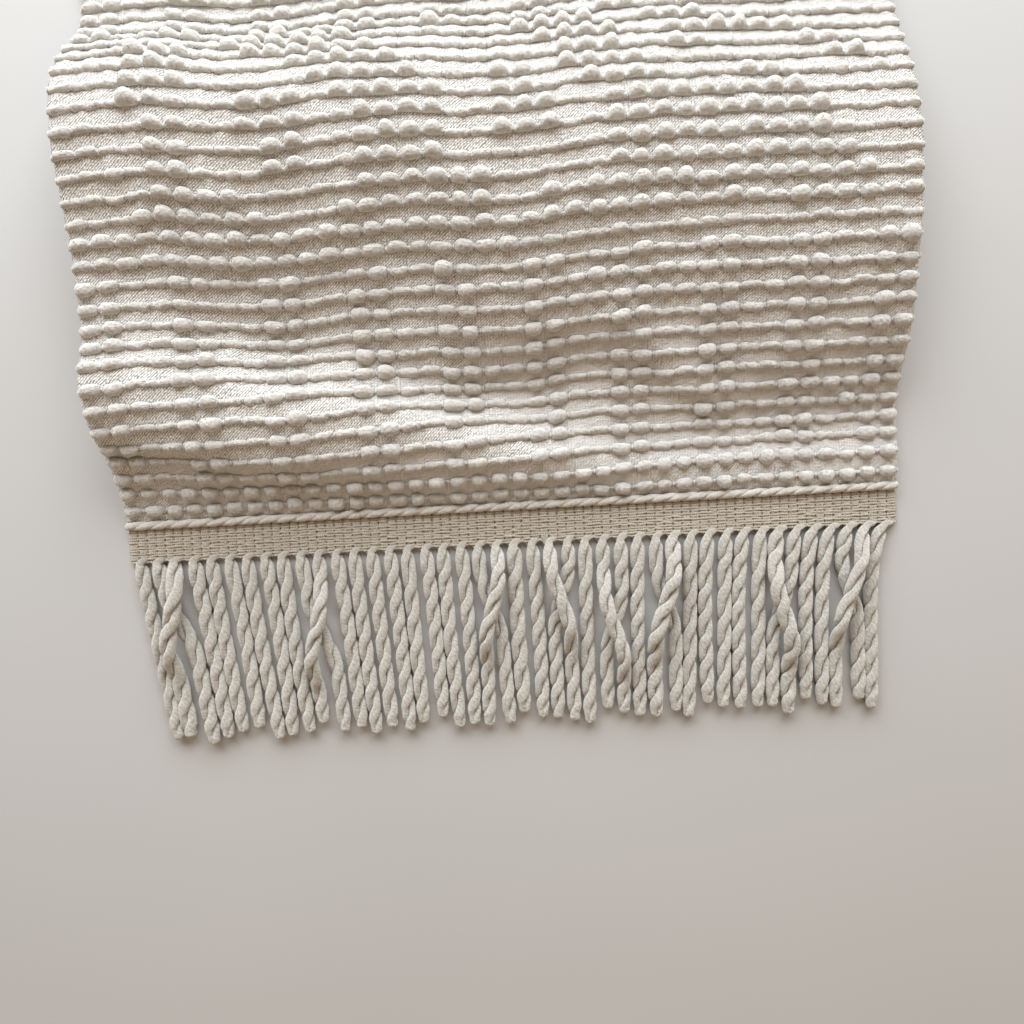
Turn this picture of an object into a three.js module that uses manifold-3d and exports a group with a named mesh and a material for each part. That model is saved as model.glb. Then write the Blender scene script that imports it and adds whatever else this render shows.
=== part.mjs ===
// A cut length of a candlewick bedspread with the bullion fringe of its hem, lying in soft folds.
// Millimetres, +Z up, +X along the hem and +Y from the fringe towards the cut back edge of the cloth.
import * as THREE from 'three';
import { mergeVertices } from 'three/addons/utils/BufferGeometryUtils.js';
import Module from 'manifold-3d';

const wasm = await Module();
wasm.setup();

// Size of the cut length: its width is a whole number of fringe strands
const STRANDS = 43;
const STRAND_PITCH = 6;
const WIDTH = STRANDS * STRAND_PITCH;
const SEAM_GAP = 0.3;

// Ground cloth, and the rows of wick that stand on it as ribs
const GROUND = 1.5;
const ROWS = 34;
const ROW_PITCH = 6.3;
const FIRST_ROW = 4.8;
const WICK_FOOT = 4.4;
const WICK_CREST = 2.2;
const LOW_WICK = 2.2;
const RAISED_WICK = 3.2;
const RAISED_BANDS = [
  { from: 1, to: 2 },
  { from: 15, to: 17 },
];
const CLOTH_LENGTH = FIRST_ROW + (ROWS - 1) * ROW_PITCH + ROW_PITCH / 2;
const COLUMNS = 12;

// Height of the underside over the surface, by the length of cloth from the hem, at five places across it
const PLACES = [
  { name: 'farLeft', across: -1 },
  { name: 'left', across: -0.5 },
  { name: 'middle', across: 0 },
  { name: 'right', across: 0.5 },
  { name: 'farRight', across: 1 },
];
const FOLDS = [
  { arc: 0, farLeft: 0, left: 0, middle: 0, right: 0, farRight: 0 },
  { arc: 6, farLeft: 1.6, left: 2.4, middle: 2.6, right: 1.8, farRight: 1.6 },
  { arc: 12, farLeft: 3.6, left: 5.8, middle: 5.6, right: 2.2, farRight: 2 },
  { arc: 18, farLeft: 6.4, left: 10, middle: 7.6, right: 1.6, farRight: 1.2 },
  { arc: 26, farLeft: 11, left: 14.8, middle: 7, right: 2.2, farRight: 1.8 },
  { arc: 34, farLeft: 16.6, left: 16.4, middle: 4.8, right: 4.8, farRight: 4.2 },
  { arc: 42, farLeft: 20.6, left: 15, middle: 4.4, right: 7.8, farRight: 7.6 },
  { arc: 52, farLeft: 21.4, left: 12.2, middle: 8, right: 11, farRight: 12 },
  { arc: 64, farLeft: 19, left: 11.4, middle: 13.4, right: 14.4, farRight: 16 },
  { arc: 78, farLeft: 18.6, left: 14.6, middle: 18, right: 18.4, farRight: 19 },
  { arc: 94, farLeft: 20.4, left: 19.6, middle: 21.8, right: 21.2, farRight: 20.8 },
  { arc: 112, farLeft: 24, left: 24.2, middle: 24.2, right: 22, farRight: 20.8 },
  { arc: 128, farLeft: 25.6, left: 25, middle: 22.4, right: 19, farRight: 16.8 },
  { arc: 142, farLeft: 22.6, left: 20.8, middle: 17.4, right: 13.4, farRight: 11 },
  { arc: 156, farLeft: 14.6, left: 12.8, middle: 10, right: 7, farRight: 5.4 },
  { arc: 168, farLeft: 5.8, left: 4.8, middle: 3.4, right: 2.2, farRight: 1.6 },
  { arc: 178, farLeft: 0.8, left: 0.7, middle: 0.4, right: 0.2, farRight: 0.2 },
  { arc: 185, farLeft: 0, left: 0, middle: 0, right: 0, farRight: 0 },
  { arc: 192, farLeft: 0, left: 0, middle: 0, right: 0, farRight: 0 },
  { arc: 224, farLeft: 0, left: 0, middle: 0, right: 0, farRight: 0 },
];
const ARC_STEP = 0.5;

// Fringe: a flat heading tape with a corded edge, and strands of two plies laid together
const HEADING = 12.5;
const TAPE = 2;
const CORD_RADIUS = 2;
const CORD_SIDES = 6;
const STRAND_LENGTH = 61;
const LENGTH_SPREAD = 3;
const ROOT_DEPTH = 3;
const STRAND_WIDE = 2.4;
const STRAND_NARROW = 1.6;
const TWIST_LENGTH = 19;
const STEPS_PER_TURN = 6;
const TIP_TAPER = 0.6;
const LEAN_LEFT = 8;
const LEAN_RIGHT = -6.5;
const ROOT_SWEEP = 6;
const SWEEP_ONSET = 3;
const TIP_STRAY = 0.5;
const BEND = 0.6;

// How the strands differ: the step, in radians, that each uneven measure takes from one strand to the next
const UNEVEN = { length: 1.7, lengthDrift: 0.6, stray: 2.4, strayDrift: 1.1, bend: 2.9 };
const STRAY_PHASE = 2;
const CORNERS = 4;
const MERGE_WITHIN = 1e-4;

// Neighbours that cross, counted from the left, and how far along: the first climbs over the second
const CROSSINGS = [
  { over: 2, under: 1, along: 0.36 },
  { over: 10, under: 9, along: 0.48 },
  { over: 20, under: 19, along: 0.36 },
  { over: 23, under: 24, along: 0.34 },
  { over: 26, under: 27, along: 0.52 },
  { over: 30, under: 29, along: 0.4 },
  { over: 36, under: 37, along: 0.46 },
  { over: 41, under: 40, along: 0.38 },
];
const CROSSING_LIFT = 5.4;
const CROSSING_HALF = 0.2;
const PLATEAU_HALF = 0.11;
const CLIMB = 0.24;

const cotton = new THREE.MeshStandardMaterial({ color: 0xece7dd, roughness: 0.95, metalness: 0 });
const fringeCotton = new THREE.MeshStandardMaterial({ color: 0xe9e4d8, roughness: 0.92, metalness: 0 });

// Smooth heights between the rows of the fold table, and then between its places across the cloth
const foldHeights = new THREE.CubicInterpolant(
  FOLDS.map((fold) => fold.arc),
  FOLDS.flatMap((fold) => PLACES.map((place) => fold[place.name])),
  PLACES.length,
);
const placesAcross = PLACES.map((place) => place.across);

function heightAt(x, arc) {
  const heights = foldHeights.evaluate(arc).slice();
  const section = new THREE.CubicInterpolant(placesAcross, heights, 1);
  const [height] = section.evaluate(x / (WIDTH / 2));
  return Math.max(height, 0);
}

// How far from the hem each stretch of cloth lies, once its rise and fall have used up some of its length
function reachTable(x) {
  const reach = [0];
  for (let arc = 0; arc < CLOTH_LENGTH + ARC_STEP; arc += ARC_STEP) {
    const rise = heightAt(x, arc + ARC_STEP) - heightAt(x, arc);
    reach.push(reach.at(-1) + Math.sqrt(ARC_STEP * ARC_STEP - rise * rise));
  }
  return reach;
}

function clothSection(x) {
  const reach = reachTable(x);
  return (arc) => {
    const step = Math.floor(arc / ARC_STEP);
    const y = THREE.MathUtils.lerp(reach[step], reach[step + 1], arc / ARC_STEP - step);
    return new THREE.Vector3(x, y, heightAt(x, arc));
  };
}

function wickHeight(row) {
  const raised = RAISED_BANDS.some((band) => row >= band.from && row <= band.to);
  return raised ? RAISED_WICK : LOW_WICK;
}

// Stations along the cloth: on the upper face a foot and a crest on each side of every wick
function upperStations() {
  const stations = [{ arc: 0, thickness: GROUND }];
  for (let row = 1; row <= ROWS; row += 1) {
    const middle = FIRST_ROW + (row - 1) * ROW_PITCH;
    const top = GROUND + wickHeight(row);
    stations.push({ arc: middle - WICK_FOOT / 2, thickness: GROUND });
    stations.push({ arc: middle - WICK_CREST / 2, thickness: top });
    stations.push({ arc: middle + WICK_CREST / 2, thickness: top });
    stations.push({ arc: middle + WICK_FOOT / 2, thickness: GROUND });
  }
  stations.push({ arc: CLOTH_LENGTH, thickness: GROUND });
  return stations;
}

function lowerStations() {
  const stations = [{ arc: 0, thickness: 0 }];
  for (let row = 1; row < ROWS; row += 1) {
    stations.push({ arc: FIRST_ROW + (row - 0.5) * ROW_PITCH, thickness: 0 });
  }
  stations.push({ arc: CLOTH_LENGTH, thickness: 0 });
  return stations;
}

// A face of the cloth as a grid of points, each set off from the underside along its normal
function facePoints(stations) {
  const points = [];
  const sections = [];
  for (let column = 0; column <= COLUMNS; column += 1) {
    sections.push(clothSection((column / COLUMNS - 0.5) * WIDTH));
  }
  for (const { arc, thickness } of stations) {
    for (const section of sections) {
      const before = section(Math.max(arc - ARC_STEP, 0));
      const after = section(Math.min(arc + ARC_STEP, CLOTH_LENGTH));
      const along = after.sub(before).normalize();
      const normal = new THREE.Vector3(0, -along.z, along.y);
      points.push(section(arc).addScaledVector(normal, thickness));
    }
  }
  return points;
}

// Triangles of a wall between two rails of points that run the same way at their own stations
function wallTriangles(upperRail, upperArcs, lowerRail, lowerArcs) {
  const triangles = [];
  let u = 0;
  let l = 0;
  while (u < upperRail.length - 1 || l < lowerRail.length - 1) {
    const stepUpper = l === lowerRail.length - 1
      || (u < upperRail.length - 1 && upperArcs[u + 1] <= lowerArcs[l + 1]);
    if (stepUpper) {
      triangles.push([upperRail[u], upperRail[u + 1], lowerRail[l]]);
      u += 1;
    } else {
      triangles.push([upperRail[u], lowerRail[l + 1], lowerRail[l]]);
      l += 1;
    }
  }
  return triangles;
}

function solidGeometry(points, triangles) {
  const geometry = new THREE.BufferGeometry();
  geometry.setFromPoints(points);
  geometry.setIndex(triangles.flat());
  return geometry;
}

function clothGeometry() {
  const upper = upperStations();
  const lower = lowerStations();
  const across = COLUMNS + 1;
  const points = [...facePoints(upper), ...facePoints(lower)];
  const upperAt = (station, column) => station * across + column;
  const lowerAt = (station, column) => (upper.length + station) * across + column;
  const triangles = [];
  const flipped = (triangle) => [triangle[0], triangle[2], triangle[1]];
  for (let column = 0; column < COLUMNS; column += 1) {
    for (let k = 0; k < upper.length - 1; k += 1) {
      triangles.push([upperAt(k, column), upperAt(k, column + 1), upperAt(k + 1, column + 1)]);
      triangles.push([upperAt(k, column), upperAt(k + 1, column + 1), upperAt(k + 1, column)]);
    }
    for (let k = 0; k < lower.length - 1; k += 1) {
      triangles.push([lowerAt(k, column), lowerAt(k + 1, column + 1), lowerAt(k, column + 1)]);
      triangles.push([lowerAt(k, column), lowerAt(k + 1, column), lowerAt(k + 1, column + 1)]);
    }
    const ends = [[0, 0], [upper.length - 1, lower.length - 1]];
    ends.forEach(([top, bottom], end) => {
      const wall = [
        [lowerAt(bottom, column), lowerAt(bottom, column + 1), upperAt(top, column + 1)],
        [lowerAt(bottom, column), upperAt(top, column + 1), upperAt(top, column)],
      ];
      triangles.push(...(end === 0 ? wall : wall.map(flipped)));
    });
  }
  const upperArcs = upper.map((station) => station.arc);
  const lowerArcs = lower.map((station) => station.arc);
  for (const column of [0, COLUMNS]) {
    const wall = wallTriangles(
      upper.map((_, k) => upperAt(k, column)),
      upperArcs,
      lower.map((_, k) => lowerAt(k, column)),
      lowerArcs,
    );
    triangles.push(...(column === 0 ? wall : wall.map(flipped)));
  }
  return solidGeometry(points, triangles);
}

// Heading tape: its section in Y and Z, with the round cord along the upper edge, drawn out along the hem
function headingGeometry() {
  const section = new THREE.Shape();
  section.moveTo(-HEADING, 0);
  section.lineTo(0, 0);
  section.lineTo(0, TAPE);
  section.absarc(-CORD_RADIUS, TAPE, CORD_RADIUS, 0, Math.PI, false);
  section.lineTo(-HEADING, TAPE);
  section.closePath();
  const drawn = { depth: WIDTH, bevelEnabled: false, curveSegments: CORD_SIDES };
  const geometry = new THREE.ExtrudeGeometry(section, drawn);
  const turn = new THREE.Matrix4().makeBasis(
    new THREE.Vector3(0, 1, 0),
    new THREE.Vector3(0, 0, 1),
    new THREE.Vector3(1, 0, 0),
  );
  geometry.applyMatrix4(turn);
  geometry.translate(-WIDTH / 2, 0, 0);
  return geometry;
}

function rootX(strand) {
  return (strand + 0.5) * STRAND_PITCH - WIDTH / 2;
}

// Where a strand lies: it leans to the middle, at the right from its root on, and may cross a neighbour
function strandPath(strand) {
  const uneven = LENGTH_SPREAD * Math.sin(UNEVEN.length * strand) * Math.cos(UNEVEN.lengthDrift * strand);
  const length = STRAND_LENGTH + uneven;
  const place = strand / (STRANDS - 1);
  const lean = Math.tan(THREE.MathUtils.degToRad(THREE.MathUtils.lerp(LEAN_LEFT, LEAN_RIGHT, place)));
  const drift = Math.sin(UNEVEN.strayDrift * strand + STRAY_PHASE) / 2;
  const stray = TIP_STRAY * (Math.sin(UNEVEN.stray * strand) + drift);
  const bend = BEND * Math.sin(UNEVEN.bend * strand);
  const crossing = CROSSINGS.find((pair) => pair.over === strand || pair.under === strand);
  const over = crossing?.over === strand;
  const swing = (t) => THREE.MathUtils.lerp(t, 1 - (1 - t) ** ROOT_SWEEP, place ** SWEEP_ONSET);
  const trade = (t) => {
    if (!crossing) return 0;
    const places = over ? crossing.under - strand : crossing.over - strand;
    const { along } = crossing;
    const share = THREE.MathUtils.smoothstep(t, along - CROSSING_HALF, along + CROSSING_HALF);
    return places * STRAND_PITCH * share;
  };
  const climb = (t) => {
    if (!over) return 0;
    const away = Math.abs(t - crossing.along);
    return CROSSING_LIFT * (1 - THREE.MathUtils.smoothstep(away, PLATEAU_HALF, PLATEAU_HALF + CLIMB));
  };
  const at = (t) => new THREE.Vector3(
    rootX(strand) + lean * length * swing(t) + stray * t + bend * Math.sin(Math.PI * t) + trade(t),
    -HEADING + ROOT_DEPTH - (length + ROOT_DEPTH) * t,
    STRAND_WIDE + climb(t),
  );
  return { length, at };
}

// A strand as a four-sided section that turns to the right as it goes, upright at every third ring
function strandGeometry(strand) {
  const { length, at } = strandPath(strand);
  const steps = Math.round((length + ROOT_DEPTH) / (TWIST_LENGTH / STEPS_PER_TURN));
  const points = [];
  const triangles = [];
  for (let ring = 0; ring <= steps; ring += 1) {
    const middle = at(ring / steps);
    const turn = Math.PI / 2 + ring * 2 * Math.PI / STEPS_PER_TURN;
    const size = ring === steps ? TIP_TAPER : 1;
    for (let corner = 0; corner < CORNERS; corner += 1) {
      const reach = size * (corner % 2 === 0 ? STRAND_WIDE : STRAND_NARROW);
      const angle = turn + corner * Math.PI / 2;
      const across = new THREE.Vector3(Math.cos(angle), 0, Math.sin(angle));
      points.push(middle.clone().addScaledVector(across, reach));
    }
  }
  for (let ring = 0; ring < steps; ring += 1) {
    for (let corner = 0; corner < CORNERS; corner += 1) {
      const here = ring * CORNERS + corner;
      const beside = ring * CORNERS + (corner + 1) % CORNERS;
      triangles.push([here, beside, beside + CORNERS]);
      triangles.push([here, beside + CORNERS, here + CORNERS]);
    }
  }
  const last = steps * CORNERS;
  triangles.push([0, 2, 1], [0, 3, 2]);
  triangles.push([last, last + 1, last + 2], [last, last + 2, last + 3]);
  return solidGeometry(points, triangles);
}

function toManifold(geometry) {
  const bare = new THREE.BufferGeometry();
  bare.setAttribute('position', geometry.getAttribute('position'));
  bare.setIndex(geometry.getIndex());
  const merged = mergeVertices(bare, MERGE_WITHIN);
  return new wasm.Manifold(new wasm.Mesh({
    numProp: 3,
    vertProperties: Float32Array.from(merged.getAttribute('position').array),
    triVerts: Uint32Array.from(merged.getIndex().array),
  }));
}

function fromManifold(solid) {
  const mesh = solid.getMesh();
  const geometry = new THREE.BufferGeometry();
  geometry.setAttribute('position', new THREE.BufferAttribute(mesh.vertProperties, 3));
  geometry.setIndex(new THREE.BufferAttribute(mesh.triVerts, 1));
  return geometry;
}

function fringeGeometry() {
  let fringe = toManifold(headingGeometry());
  for (let strand = 0; strand < STRANDS; strand += 1) {
    fringe = fringe.add(toManifold(strandGeometry(strand)));
  }
  return fromManifold(fringe);
}

function piece(name, geometry, material) {
  const mesh = new THREE.Mesh(geometry, material);
  mesh.name = name;
  return mesh;
}

// The fringe lies just clear of the hem, and the whole stands on the middle of its own footprint
const bedspread = new THREE.Group();
const cloth = piece('bedspread_cloth', clothGeometry(), cotton);
const fringe = piece('bullion_fringe', fringeGeometry(), fringeCotton);
fringe.position.y = new THREE.Box3().setFromObject(cloth).min.y - SEAM_GAP;
bedspread.add(cloth, fringe);
const footprint = new THREE.Box3().setFromObject(bedspread).getCenter(new THREE.Vector3());
bedspread.position.set(-footprint.x, -footprint.y, 0);

export default bedspread;
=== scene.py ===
# %% [markdown]
# # A candlewick bedspread with a bullion fringe
#
# The object is a cut length of a cream cotton bedspread. Soft, fat roving is woven into a thin twill
# ground in rows, and some of its floats are pulled up into loops that draw the pattern. A bought-in
# fringe of twisted, looped strands is sewn along the hem. The solids are already made and packed, so
# the first step only loads them. Everything after it is looks, laid on that fixed frame.

# %% Load the fixed frame
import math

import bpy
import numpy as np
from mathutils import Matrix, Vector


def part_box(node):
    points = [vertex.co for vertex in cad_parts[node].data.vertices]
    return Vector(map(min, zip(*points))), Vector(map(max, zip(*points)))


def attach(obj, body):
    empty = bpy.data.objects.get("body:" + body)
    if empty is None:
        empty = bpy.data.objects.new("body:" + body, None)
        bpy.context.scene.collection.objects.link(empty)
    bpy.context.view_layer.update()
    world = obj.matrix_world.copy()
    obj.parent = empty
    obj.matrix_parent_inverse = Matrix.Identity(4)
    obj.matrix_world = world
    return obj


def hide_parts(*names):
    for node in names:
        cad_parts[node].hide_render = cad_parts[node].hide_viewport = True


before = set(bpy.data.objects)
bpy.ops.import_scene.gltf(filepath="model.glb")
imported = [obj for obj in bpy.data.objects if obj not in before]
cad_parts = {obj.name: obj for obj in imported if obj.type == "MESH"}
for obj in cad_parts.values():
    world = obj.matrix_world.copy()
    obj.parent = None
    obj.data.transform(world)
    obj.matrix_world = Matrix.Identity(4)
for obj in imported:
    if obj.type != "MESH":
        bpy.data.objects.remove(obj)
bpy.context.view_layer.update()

# %% [markdown]
# ## Sizes
#
# A maker thinks of cloth and yarn in millimetres, so the lesson does too, and turns them into Blender's
# metres only where a mesh is made. The width and the place of the hem are read from the frame, so the
# looks can't drift away from the solids.

MM = 0.001
cloth_low, cloth_high = [np.array(corner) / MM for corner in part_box("bedspread_cloth")]
fringe_low, fringe_high = [np.array(corner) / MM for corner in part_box("bullion_fringe")]
WIDTH = float(cloth_high[0] - cloth_low[0])
FRINGE_TOP = float(fringe_high[1])
print(f"cloth {WIDTH:.1f} mm wide, fringe from y {fringe_low[1]:.1f} to {FRINGE_TOP:.1f} mm")

# %% [markdown]
# ## The folds
#
# The cloth lies in one big soft wave, with a ridge that runs from the left down to the hem. A cloth
# simulation would give some wave, but not this one. A short table of heights, by the length of cloth
# from the hem and at five places across it, gives the same folds as the solid under it.

# %% Heights of the underside
GROUND = 1.5
ROWS = 34
ROW_PITCH = 6.3
FIRST_ROW = 4.8
CLOTH_LENGTH = FIRST_ROW + (ROWS - 0.5) * ROW_PITCH
FOLD_PLACES = np.array([-1.0, -0.5, 0.0, 0.5, 1.0])
FOLDS = np.array([
    # length from the hem, then heights at the far left, left, middle, right and far right
    (0, 0, 0, 0, 0, 0),
    (6, 1.6, 2.4, 2.6, 1.8, 1.6),
    (12, 3.6, 5.8, 5.6, 2.2, 2),
    (18, 6.4, 10, 7.6, 1.6, 1.2),
    (26, 11, 14.8, 7, 2.2, 1.8),
    (34, 16.6, 16.4, 4.8, 4.8, 4.2),
    (42, 20.6, 15, 4.4, 7.8, 7.6),
    (52, 21.4, 12.2, 8, 11, 12),
    (64, 19, 11.4, 13.4, 14.4, 16),
    (78, 18.6, 14.6, 18, 18.4, 19),
    (94, 20.4, 19.6, 21.8, 21.2, 20.8),
    (112, 24, 24.2, 24.2, 22, 20.8),
    (128, 25.6, 25, 22.4, 19, 16.8),
    (142, 22.6, 20.8, 17.4, 13.4, 11),
    (156, 14.6, 12.8, 10, 7, 5.4),
    (168, 5.8, 4.8, 3.4, 2.2, 1.6),
    (178, 0.8, 0.7, 0.4, 0.2, 0.2),
    (185, 0, 0, 0, 0, 0),
    (192, 0, 0, 0, 0, 0),
    (224, 0, 0, 0, 0, 0),
])
print(f"cloth {CLOTH_LENGTH:.1f} mm long, up to {FOLDS[:, 1:].max():.0f} mm off the floor")


# %% A smooth curve through the table
def smooth_weights(knots, at):
    """The share that each knot has in a smooth cubic curve, one row for each place in at."""
    last = len(knots) - 1
    k = np.clip(np.searchsorted(knots, at, side="right") - 1, 0, last - 1)
    before = np.where(k > 0, k - 1, k + 1)
    after = np.where(k < last - 1, k + 2, k)
    step = knots[k + 1] - knots[k]
    p = (at - knots[k]) / step
    pull = 0.5 * step / (knots[k] - knots[before])
    push = 0.5 * step / (knots[after] - knots[k + 1])
    weights = np.zeros((len(at), len(knots)))
    row = np.arange(len(at))
    np.add.at(weights, (row, before), pull * (2 * p**2 - p**3 - p))
    np.add.at(weights, (row, k), (1 + pull) * p**3 - (1.5 + 2 * pull) * p**2 + (pull - 0.5) * p + 1)
    np.add.at(weights, (row, k + 1), (1.5 + push) * p**2 - (1 + push) * p**3 + 0.5 * p)
    np.add.at(weights, (row, after), push * (p**3 - p**2))
    return weights


TABLE_COLUMNS = 259
ARC_STEP = 0.5
TABLE_X = np.linspace(-WIDTH / 2, WIDTH / 2, TABLE_COLUMNS)
TABLE_ARC = np.arange(0, CLOTH_LENGTH + 2 * ARC_STEP, ARC_STEP)
across_weights = smooth_weights(FOLD_PLACES, TABLE_X / (WIDTH / 2))
arc_weights = smooth_weights(FOLDS[:, 0], TABLE_ARC)
fold_height = np.maximum(across_weights @ FOLDS[:, 1:].T @ arc_weights.T, 0)
print("height table", fold_height.shape, "highest", round(float(fold_height.max()), 2), "mm")

# %% [markdown]
# ## The small creases
#
# Cloth that has been handled keeps faint ridges and troughs between its big folds. They could be
# sculpted. Here each one is a line across the cloth with a height and a softness, placed where
# the light breaks on the real cloth, and a slow random drift keeps the rest from looking ironed.

# %% Slow unevenness
DRIFT_CELLS = 64
DRIFT_START = 200.0


def eased(share):
    """A share from 0 to 1 with soft ends."""
    return share * share * (3 - 2 * share)


def drift(u, v, step, seed):
    """Slow unevenness from -1 to 1, with one random height for each step along u and v."""
    cells = np.random.default_rng(seed).uniform(-1, 1, (DRIFT_CELLS, DRIFT_CELLS))
    i, j = np.floor(u / step).astype(int), np.floor(v / step).astype(int)
    p, q = eased(u / step - i), eased(v / step - j)
    i, next_i = i % DRIFT_CELLS, (i + 1) % DRIFT_CELLS
    j, next_j = j % DRIFT_CELLS, (j + 1) % DRIFT_CELLS
    near = cells[i, j] * (1 - q) + cells[i, next_j] * q
    far = cells[next_i, j] * (1 - q) + cells[next_i, next_j] * q
    return near * (1 - p) + far * p


sample = drift(TABLE_X, np.zeros_like(TABLE_X), 10.0, seed=1)
print(f"a drift across the cloth runs from {sample.min():.2f} to {sample.max():.2f}")

# %% Soft ridges and troughs
CREASES = [
    # height, softness, then the places it runs through: across, length from the hem
    (1.5, 6.0, [(-129, 53), (-90, 48), (-51, 38), (-20, 27), (0, 19), (20, 13), (41, 9), (70, 8)]),
    (-1.0, 7.0, [(-90, 66), (-51, 57), (0, 37), (30, 24), (64, 17)]),
    (1.4, 6.5, [(36, 62), (50, 50), (62, 38), (72, 28)]),
    (-0.8, 7.0, [(12, 81), (36, 79), (66, 82)]),
    (-0.5, 3.6, [(-129, 27), (-112, 25), (-97, 21)]),
]
SLOW_LIFT, SLOW_STEP = 0.25, 26.0
QUICK_LIFT, QUICK_STEP = 0.3, 10.0
SETTLED_BELOW = 6.0


def away_from(x, arc, places):
    """How far each point of the cloth is from a line through some places."""
    nearest = np.full_like(x, np.inf)
    for (x0, arc0), (x1, arc1) in zip(places[:-1], places[1:]):
        run = np.array([x1 - x0, arc1 - arc0], float)
        share = np.clip(((x - x0) * run[0] + (arc - arc0) * run[1]) / (run @ run), 0, 1)
        nearest = np.minimum(nearest, np.hypot(x - x0 - share * run[0], arc - arc0 - share * run[1]))
    return nearest


def crease_height(x, arc):
    """How far the creases and the slow unevenness lift the cloth."""
    lift = SLOW_LIFT * drift(x + DRIFT_START, arc, SLOW_STEP, seed=11)
    lift = lift + QUICK_LIFT * drift(x + DRIFT_START, arc, QUICK_STEP, seed=12)
    for high, soft, places in CREASES:
        lift = lift + high * np.exp(-((away_from(x, arc, places) / soft) ** 2))
    return lift


grid_x, grid_arc = np.meshgrid(TABLE_X, TABLE_ARC, indexing="ij")
settle = np.clip(fold_height / SETTLED_BELOW, 0, 1)
height = np.maximum(fold_height + settle * crease_height(grid_x, grid_arc), 0)
print(f"{len(CREASES)} creases, steepest slope", round(float(np.abs(np.diff(height)).max() / ARC_STEP), 2))

# %% [markdown]
# ## Walking on the cloth
#
# Every later piece is placed by three numbers: how far across, how far along the cloth from the hem, and
# how high above its underside. Rise and fall use up some of the cloth's length, so the distance from the
# hem is added up step by step. The same walk then carries the ground, the wicks and their threads.

# %% How far the cloth reaches
STEEPEST = 0.96
rise = np.clip(np.diff(height, axis=1), -STEEPEST * ARC_STEP, STEEPEST * ARC_STEP)
steps_out = np.sqrt(ARC_STEP**2 - rise**2)
reach = np.concatenate([np.zeros((len(TABLE_X), 1)), np.cumsum(steps_out, axis=1)], axis=1)
climb_rate = np.clip(np.gradient(height, ARC_STEP, axis=1), -STEEPEST, STEEPEST)
forward_rate = np.sqrt(1 - climb_rate**2)
HEM_Y = float(cloth_low[1]) + GROUND * float(climb_rate[:, 0].max())
print(f"hem at y {HEM_Y:.2f}, steepest climb {math.degrees(math.asin(climb_rate.max())):.0f} degrees")

# %% From the cloth's own measures to the frame
LAST_CELL = 1.001


def lookup(table, x, arc):
    """A value between the four nearest entries of a table over the cloth."""
    fx = np.clip((x / WIDTH + 0.5) * (len(TABLE_X) - 1), 0, len(TABLE_X) - LAST_CELL)
    fa = np.clip(arc / ARC_STEP, 0, len(TABLE_ARC) - LAST_CELL)
    i, j = fx.astype(int), fa.astype(int)
    p, q = fx - i, fa - j
    near = table[i, j] * (1 - q) + table[i, j + 1] * q
    far = table[i + 1, j] * (1 - q) + table[i + 1, j + 1] * q
    return near * (1 - p) + far * p


def on_cloth(x, arc, lift):
    """The point, in millimetres of the frame, at a height over the underside of the cloth."""
    x, arc, lift = np.broadcast_arrays(x, arc, lift)
    climb = lookup(climb_rate, x, arc)
    y = HEM_Y + lookup(reach, x, arc) - climb * lift
    z = lookup(height, x, arc) + lookup(forward_rate, x, arc) * lift
    return np.stack([x, y, z], axis=-1)


def cloth_frame(x, arc):
    """The underside point at each place, with the directions along the cloth and square out of it."""
    climb, ahead = lookup(climb_rate, x, arc), lookup(forward_rate, x, arc)
    zero = np.zeros_like(x)
    foot = np.stack([x, HEM_Y + lookup(reach, x, arc), lookup(height, x, arc)], axis=-1)
    return foot, np.stack([zero, ahead, climb], axis=-1), np.stack([zero, -climb, ahead], axis=-1)


tail = on_cloth(np.array([0.0]), np.array([CLOTH_LENGTH]), np.array([0.0]))[0]
print(f"back edge at y {tail[1]:.2f} against {cloth_high[1]:.2f} in the solid")

# %% [markdown]
# ## Meshes from arrays
#
# Thousands of loops and strands would be slow as separate objects. Numpy works out all their points at
# once, and each kind of piece becomes one joined mesh. Each corner also keeps two measures in
# millimetres or turns, so a finish can follow the yarn instead of the room.

# %% Triangles over a grid
def grid_faces(rows, columns, closed):
    """Triangles over a grid of points, and for each corner its row and column."""
    steps = columns if closed else columns - 1
    i, j = np.meshgrid(np.arange(rows - 1), np.arange(steps), indexing="ij")
    corners = [(i, j), (i, j + 1), (i + 1, j + 1), (i, j), (i + 1, j + 1), (i + 1, j)]
    row = np.stack([c[0] for c in corners], axis=-1).reshape(-1, 3)
    column = np.stack([c[1] for c in corners], axis=-1).reshape(-1, 3)
    return row * columns + column % columns, row, column


print("two rows of three points give", len(grid_faces(2, 3, False)[0]), "triangles")


# %% Rings of points become tubes
def tube(rings, along):
    """A closed tube through rings of points; along is the distance that its grain follows."""
    count, sides, _ = rings.shape
    faces, row, column = grid_faces(count, sides, True)
    uv = np.stack([along[row], column / sides], axis=-1)
    points = np.concatenate([rings.reshape(-1, 3), rings[:1].mean(axis=1), rings[-1:].mean(axis=1)])
    j = np.arange(sides)
    k = (j + 1) % sides
    first, last = count * sides, (count - 1) * sides
    start = np.stack([np.full(sides, first), k, j], axis=-1)
    end = np.stack([np.full(sides, first + 1), last + j, last + k], axis=-1)
    start_uv = np.stack([np.full((sides, 3), along[0]), np.stack([j, j + 1, j], -1) / sides], axis=-1)
    end_uv = np.stack([np.full((sides, 3), along[-1]), np.stack([j, j, j + 1], -1) / sides], axis=-1)
    return points, np.concatenate([faces, start, end]), np.concatenate([uv, start_uv, end_uv])


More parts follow.
